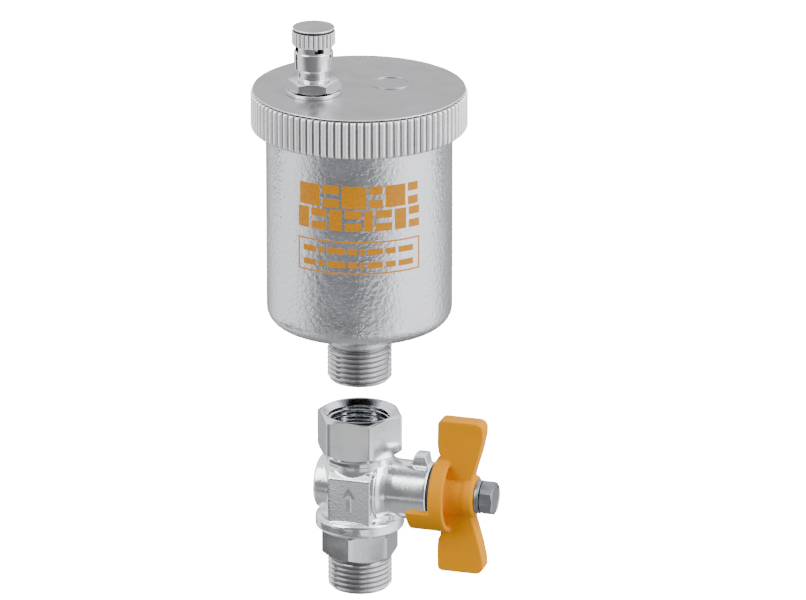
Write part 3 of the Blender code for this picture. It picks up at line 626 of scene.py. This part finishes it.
def patch(bm, start, end, low, high):
    """A thin printed area on the cup; start and end are millimetres round from the print's centre."""
    steps = max(int(abs(end - start) / 0.8), 1)
    loops = []
    for k in range(steps + 1):
        angle = PRINT_CENTRE + (start + (end - start) * k / steps) / BODY_R
        skin_in, skin_out = BODY_R - 0.02, BODY_R + 0.03
        corners = raised(((skin_in, low), (skin_out, low), (skin_out, high), (skin_in, high)))
        loops.append([bm.verts.new((r * math.cos(angle), r * math.sin(angle), z)) for r, z in corners])
    skin(bm, loops)
    bm.faces.new(loops[0])
    bm.faces.new(loops[-1])


def printing():
    """Plain blocks and a frame of dashes where the cup's print goes. No letters."""
    bm = bmesh.new()
    for low, high, widths in (
        (53.7, 59.5, (5.8, 4.4, 6.2, 3.4, 5.4, 3.0)),
        (47.6, 53.1, (3.2, 4.2, 3.2, 4.2, 2.2, 4.2, 3.2, 3.2)),
    ):
        at = -(sum(widths) + PRINT_GAP * (len(widths) - 1)) / 2.0
        for i, width in enumerate(widths):
            share = 1.15 * (high - low) / 3.0
            if i % 2:
                patch(bm, at, at + width, low, low + share)
                patch(bm, at, at + width, high - share, high)
            else:
                patch(bm, at, at + width, low, high)
            at += width + PRINT_GAP
    for low in (FRAME_LOW, FRAME_HIGH - FRAME_LINE):
        patch(bm, -FRAME_HALF, FRAME_HALF, low, low + FRAME_LINE)
    for start in (-FRAME_HALF, FRAME_HALF - FRAME_LINE):
        patch(bm, start, start + FRAME_LINE, FRAME_LOW + FRAME_LINE, FRAME_HIGH - FRAME_LINE)
    for low, high in ((37.8, 39.4), (41.4, 43.0)):
        at = DASH_START
        for width in (3.6, 1.6, 4.6, 2.2, 1.2, 3.8, 2.6, 4.2):
            patch(bm, at, at + width, low, high)
            at += width + DASH_GAP
    dress(solid(bm, "printing"), "vent", "vent_body", "print", replaces=False)


def ribbed(bm, crest, root, z, ribs):
    """A ring of rounded ribs, eight vertices to a rib."""
    verts = []
    rise = ((-0.42, 0.0), (-0.35, 0.5), (-0.24, 0.84), (-0.07, 1.0))
    fall = ((0.07, 1.0), (0.24, 0.84), (0.35, 0.5), (0.42, 0.0))
    for i in range(ribs):
        for part, height in rise + fall:
            angle = (i + part) * TAU / ribs
            radius = root + height * (crest - root)
            verts.append(bm.verts.new((radius * math.cos(angle), radius * math.sin(angle), z)))
    return verts


def cover():
    """Ribbed cover with a satin top, and the plain ring raised on it."""
    bm = bmesh.new()
    sides = 8 * COVER_RIBS
    under = [ring(bm, r, z, sides) for r, z in raised((
        (24.3, 76.1), (24.3, 67.9), (24.6, 67.5), (25.9, 67.5), (26.3, 67.55),
    ))]
    levels = (
        (67.65, 26.6, 26.4), (67.9, 27.05, 26.6), (68.25, 27.4, 26.6), (68.6, 27.5, 26.6),
        (76.7, 27.5, 26.6), (77.1, 27.4, 26.6), (77.35, 27.1, 26.6), (77.5, 26.8, 26.55),
    )
    ribs = [ribbed(bm, crest, root, z + VENT_Z, COVER_RIBS) for z, crest, root in levels]
    top = [ring(bm, r, z, sides) for r, z in raised((
        (26.4, 77.52), (26.3, 77.55), (26.3, 77.74), (26.85, 77.76), (27.0, 77.82), (27.0, 77.94),
        (26.95, 78.02), (26.8, 78.09), (26.7, 78.1), (26.0, 78.1),
    ))]
    bm.faces.new(under[0])
    skin(bm, [*under, *ribs, *top])
    bm.faces.new(top[-1])
    lid = solid(bm, "ribbed_cover")
    hole = turned("hole", raised(((4.2, 75.0), (4.2, 79.0))), closed=False, caps=True, soft=0.0)
    combine(lid, at_outlet(hole), "DIFFERENCE")
    dress(lid, "cover_set", "cover", "ribs")
    for finish in ("satin", "groove_shade", "recess_shade"):
        lid.data.materials.append(MATERIALS[finish])
    # Painted shade: a darker colour on the grooves between the ribs, and a near-black one on the band
    # under the top's rim.
    for face in lid.data.polygons:
        z = face.center.z / MM - VENT_Z
        radius = face.center.xy.length / MM
        if z > 78.05 or radius < 24.6:
            face.material_index = 1
        elif 77.5 < z < 77.76:
            face.material_index = 3
        elif radius < 27.0 and z < 77.5:
            face.material_index = 2
    profile = ((4.4, 78.0), (5.3, 78.0), (5.3, 78.3), (5.15, 78.4), (4.55, 78.4), (4.4, 78.3))
    mark = turned("cover_mark", raised(profile), soft=0.1)
    placed(mark, Matrix.Translation((6.6 * MM, 5.8 * MM, 0.0)))
    dress(mark, "cover_set", "cover", "satin", replaces=False)


def outlet():
    """Nozzle with its hexagon, barrel and slotted crown, and the washer under it."""
    bm = bmesh.new()
    seat = raised(((1.35, 90.6), (1.35, 74.9), (2.0, 74.9), (2.4, 75.3), (4.0, 75.3), (4.0, 79.1)))
    corners = hexagon(bm, 12.3, 79.1 + VENT_Z, 82.0 + VENT_Z, 6.1, 5.9, NOZZLE_TURN, corner=0.5)
    upper = soften(raised((
        (5.9, 82.0), (4.3, 82.05), (4.1, 82.3), (4.1, 84.4), (4.8, 84.6), (5.0, 84.85), (5.0, 89.0),
        (4.85, 89.2), (4.65, 89.2), (4.65, 92.4), (3.6, 92.4), (3.6, 89.5), (2.3, 89.5), (2.3, 92.2),
        (1.35, 92.2), (1.35, 90.6),
    )), 0.15)
    rings = [ring(bm, r, z, FINE) for r, z in seat] + corners
    rings += [ring(bm, r, z, FINE) for r, z in upper[1:-1]]
    skin(bm, rings, closed=True)
    nozzle = solid(bm, "nozzle")
    for turn in range(4):
        slot = block("slot", (2.9, -1.2, 89.5 + VENT_Z), (6.0, 1.2, 93.0 + VENT_Z))
        combine(nozzle, placed(slot, Matrix.Rotation(TAU * turn / 4, 4, "Z")), "DIFFERENCE")
    dress(at_outlet(nozzle), "cover_set", "outlet_nozzle", "polished")
    profile = raised(((4.3, 78.15), (7.1, 78.15), (7.1, 79.0), (4.3, 79.0)))
    washer = turned("outlet_washer", profile, soft=0.12)
    dress(at_outlet(washer), "cover_set", "nozzle_washer", "polished")


def cap():
    """Fluted cap with a flat top disc over a narrow neck."""
    bm = bmesh.new()
    sides = 8 * CAP_FLUTES
    inside = raised(((3.0, 94.6), (4.8, 94.6), (4.8, 91.2), (5.0, 90.9), (5.15, 90.9)))
    rings = [ring(bm, r, z, sides) for r, z in inside]
    for z, crest, root in (
        (91.0, 5.35, 5.15), (91.2, 5.52, 5.15), (91.5, 5.55, 5.1), (94.3, 5.55, 5.1), (94.5, 5.5, 5.1),
        (94.6, 5.3, 5.1),
    ):
        rings.append(ribbed(bm, crest, root, z + VENT_Z, CAP_FLUTES))
    outside = (
        (4.9, 94.62), (4.85, 94.65), (4.85, 95.05), (4.9, 95.1), (5.2, 95.12), (5.3, 95.18),
        (5.3, 95.4), (5.25, 95.47), (5.15, 95.5), (4.9, 95.5),
    )
    rings += [ring(bm, r, z, sides) for r, z in raised(outside)]
    bm.faces.new(rings[0])
    skin(bm, rings)
    bm.faces.new(rings[-1])
    piece = solid(bm, "fluted_cap")
    parts = [part_of_cap(face) for face in piece.data.polygons]
    dress(at_outlet(piece), "cap", "outlet_cap", "ribs")
    # Painted shade: a darker colour in the flutes' roots, and a near-black one on the neck under the
    # top disc.
    for finish in ("groove_shade", "recess_shade", "satin"):
        piece.data.materials.append(MATERIALS[finish])
    for face, part in zip(piece.data.polygons, parts):
        face.material_index = part


def part_of_cap(face):
    """A cap face's material: 1 a flute's root and 2 the neck under the top disc, both painted shade, 3
    the disc's top.
    """
    z = face.center.z / MM - VENT_Z
    radius = face.center.xy.length / MM
    if z > 95.48:
        return 3
    if 94.6 < z < 95.12 and radius < 5.25:
        return 2
    return 1 if 91.0 < z < 94.6 and radius < 5.26 else 0


# Studio ----------------------------------------------------------------------------------------


def facing(point, target):
    """Rotation that points a light, card or camera from a point at a target."""
    return (Vector(target) - Vector(point)).to_track_quat("-Z", "Y").to_euler()


def from_view(azimuth, elevation, distance, height):
    """A point round the object; azimuth in degrees to the camera's right."""
    angle = AZIMUTH + math.radians(azimuth)
    rise = math.radians(elevation)
    flat = distance * math.cos(rise)
    return Vector((math.sin(angle) * flat, -math.cos(angle) * flat, height + distance * math.sin(rise)))


def set_camera():
    """A long lens from well back, a little right of the front and above."""
    right = Vector((math.cos(AZIMUTH), math.sin(AZIMUTH), 0.0))
    target = Vector((0.0, 0.0, LOOK_Z)) + right * LOOK_RIGHT
    camera = bpy.data.objects.new("camera", bpy.data.cameras.new("camera"))
    bpy.context.scene.collection.objects.link(camera)
    camera.data.lens = LENS
    camera.data.sensor_width = 36.0
    camera.data.clip_start = 0.01
    flat = math.cos(ELEVATION)
    toward = Vector((math.sin(AZIMUTH) * flat, -math.cos(AZIMUTH) * flat, math.sin(ELEVATION)))
    camera.location = target + toward * DISTANCE
    camera.rotation_euler = facing(camera.location, target)
    bpy.context.scene.camera = camera


def add_light(name, azimuth, elevation, power):
    """A soft rectangular lamp aimed at the object's middle."""
    light = bpy.data.objects.new(name, bpy.data.lights.new(name, "AREA"))
    light.data.shape = "RECTANGLE"
    light.data.size, light.data.size_y = LAMP_SIZE
    light.data.energy = power
    light.location = from_view(azimuth, elevation, LAMP_DISTANCE, LAMP_AIM)
    light.rotation_euler = facing(light.location, (0.0, 0.0, LAMP_AIM))
    bpy.context.scene.collection.objects.link(light)


def vector_dot(nodes, links, source, direction):
    """Socket with how far a world direction points along another."""
    dot = nodes.new("ShaderNodeVectorMath")
    dot.operation = "DOT_PRODUCT"
    dot.inputs[1].default_value = direction
    links.new(source, dot.inputs[0])
    return dot.outputs["Value"]


def soft_range(nodes, links, source, start, end, low, high):
    """Socket that eases from low to high as source goes from start to end."""
    ease = nodes.new("ShaderNodeMapRange")
    ease.interpolation_type = "SMOOTHSTEP"
    ease.inputs["From Min"].default_value = start
    ease.inputs["From Max"].default_value = end
    ease.inputs["To Min"].default_value = low
    ease.inputs["To Max"].default_value = high
    links.new(source, ease.inputs["Value"])
    return ease.outputs["Result"]


def product(nodes, links, first, second):
    """Socket with two sockets multiplied."""
    multiply = nodes.new("ShaderNodeMath")
    multiply.operation = "MULTIPLY"
    links.new(first, multiply.inputs[0])
    links.new(second, multiply.inputs[1])
    return multiply.outputs["Value"]


def set_world():
    """A studio that is dark behind the camera, bright at both sides, softer at the back and below."""
    world = bpy.data.worlds.new("studio")
    bpy.context.scene.world = world
    world.use_nodes = True
    nodes, links = world.node_tree.nodes, world.node_tree.links
    place = nodes.new("ShaderNodeTexCoord").outputs["Generated"]
    front = from_view(-14.0, 0.0, 1.0, 0.0)
    back = from_view(168.0, -25.0, 1.0, 0.0)
    right = from_view(75.0, 10.0, 1.0, 0.0)
    ahead = soft_range(nodes, links, vector_dot(nodes, links, place, front), 0.30, 0.88, 1.0, DARK)
    behind = soft_range(nodes, links, vector_dot(nodes, links, place, back), 0.40, 0.95, 1.0, 0.3)
    aside = soft_range(nodes, links, vector_dot(nodes, links, place, right), -0.5, 0.9, 0.82, 1.12)
    down = Vector((0.0, 0.0, -1.0))
    under = soft_range(nodes, links, vector_dot(nodes, links, place, down), 0.5, 0.9, 1.0, 0.3)
    round_about = product(nodes, links, ahead, behind)
    level = product(nodes, links, round_about, product(nodes, links, aside, under))
    background = nodes["Background"]
    background.inputs["Color"].default_value = (0.97, 0.98, 1.0, 1.0)
    scaled = nodes.new("ShaderNodeMath")
    scaled.operation = "MULTIPLY"
    scaled.inputs[1].default_value = WORLD
    links.new(level, scaled.inputs[0])
    links.new(scaled.outputs["Value"], background.inputs["Strength"])


def backdrop_piece(name, mesh, strength):
    """Pale floor or backdrop: the camera sees it, reflections see the studio behind it."""
    piece = bpy.data.objects.new(name, mesh)
    bpy.context.scene.collection.objects.link(piece)
    mat = material(name, (0.93, 0.93, 0.93), 0.0, 0.9)
    shader = mat.node_tree.nodes["Principled BSDF"]
    shader.inputs["Emission Color"].default_value = (1.0, 1.0, 1.0, 1.0)
    shader.inputs["Emission Strength"].default_value = strength
    mesh.materials.append(mat)
    piece.visible_glossy = False
    piece.visible_diffuse = False
    piece.visible_shadow = False
    return piece


def set_backdrop():
    """A round floor under a dome."""
    bm = bmesh.new()
    bmesh.ops.create_circle(bm, cap_ends=True, radius=4.0, segments=96)
    mesh = bpy.data.meshes.new("floor")
    bm.to_mesh(mesh)
    bm.free()
    backdrop_piece("floor", mesh, FLOOR_GLOW).location.z = -0.0002
    bm = bmesh.new()
    bmesh.ops.create_uvsphere(bm, u_segments=96, v_segments=48, radius=3.9)
    mesh = bpy.data.meshes.new("dome")
    bm.to_mesh(mesh)
    bm.free()
    backdrop_piece("dome", mesh, FLOOR_GLOW)


def add_card(name, azimuth, level, size, shade):
    """A glowing or dark card that only reflections see; level is its middle's height."""
    bm = bmesh.new()
    bmesh.ops.create_grid(bm, x_segments=1, y_segments=1, size=0.5)
    bmesh.ops.scale(bm, vec=(size[0], size[1], 1.0), verts=bm.verts)
    mesh = bpy.data.meshes.new(name)
    bm.to_mesh(mesh)
    bm.free()
    card = bpy.data.objects.new(name, mesh)
    bpy.context.scene.collection.objects.link(card)
    card.location = from_view(azimuth, 0.0, CARD_DISTANCE, level)
    card.rotation_euler = facing(card.location, (0.0, 0.0, level))
    mat = material(name, (0.0, 0.0, 0.0), 0.0, 1.0, gloss=0.0)
    shader = mat.node_tree.nodes["Principled BSDF"]
    shader.inputs["Emission Color"].default_value = (1.0, 1.0, 1.0, 1.0)
    shader.inputs["Emission Strength"].default_value = shade
    mesh.materials.append(mat)
    card.visible_camera = False
    card.visible_diffuse = False
    card.visible_shadow = False


def set_studio():
    """Surroundings, two lamps, and the cards and flags that the bright metal reflects."""
    set_world()
    set_backdrop()
    add_light("key", -60.0, 35.0, 12.0)
    add_light("fill", 65.0, 30.0, 11.0)
    for card in (
        ("valve_card_right", 13.0, -0.068, (0.11, 0.064), 1.5),
        ("valve_card_left", -30.0, -0.053, (0.12, 0.034), 0.85),
        ("valve_card_side", 80.0, -0.042, (0.16, 0.022), 1.1),
        ("nozzle_flag_left", -115.0, 0.0635, (0.08, 0.043), 0.05),
        ("nozzle_flag_right", 112.0, 0.0635, (0.08, 0.043), 0.05),
        ("tail_flag_left", -58.0, -0.088, (0.2, 0.042), 0.15),
        ("tail_flag_side", -100.0, -0.08, (0.2, 0.06), 0.2),
    ):
        add_card(*card)


end_connector()
casting()
flow_arrow()
handle()
handle_fixings()
vent_body()
printing()
cover()
outlet()
cap()
for node, finish in CARRIED.items():
    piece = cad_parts[node]
    piece.data.materials.clear()
    piece.data.materials.append(MATERIALS[finish])
set_camera()
set_studio()
